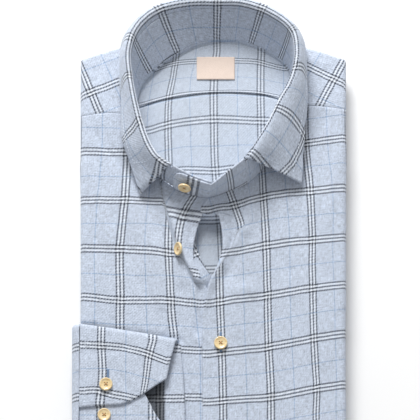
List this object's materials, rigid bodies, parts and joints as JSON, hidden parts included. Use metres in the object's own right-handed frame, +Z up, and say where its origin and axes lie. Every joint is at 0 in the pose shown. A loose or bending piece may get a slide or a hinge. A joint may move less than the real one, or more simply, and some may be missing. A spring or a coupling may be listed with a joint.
{
  "type": "folded flannel shirt",
  "caption": "Men's long-sleeved checked flannel shirt, folded to a rectangle and lying on its back, collar standing, one cuff turned to the front.",
  "frame": {"origin": "middle of the footprint, on the surface that the shirt lies on", "axes": "+X from the wearer's right to the wearer's left, +Y from the bottom fold to the collar, +Z up"},
  "size_m": [0.2368, 0.4232, 0.0617],
  "materials": {
    "flannel": "matt",
    "flannel_inside": "matt",
    "label_cloth": "satin",
    "button_horn": "gloss"
  },
  "bodies": {
    "root": {"front_right": "flannel", "front_left": "flannel", "yoke": "flannel", "yoke_inside": "flannel_inside", "back_inside": "flannel_inside", "folded_core": "flannel_inside", "collar_band": "flannel", "collar_leaf": "flannel", "cuff": "flannel", "sleeve_end": "flannel", "label": "label_cloth", "collar_button": "button_horn", "second_button": "button_horn", "third_button": "button_horn", "fourth_button": "button_horn", "cuff_button": "button_horn", "cuff_second_button": "button_horn"}
  },
  "joints": []
}
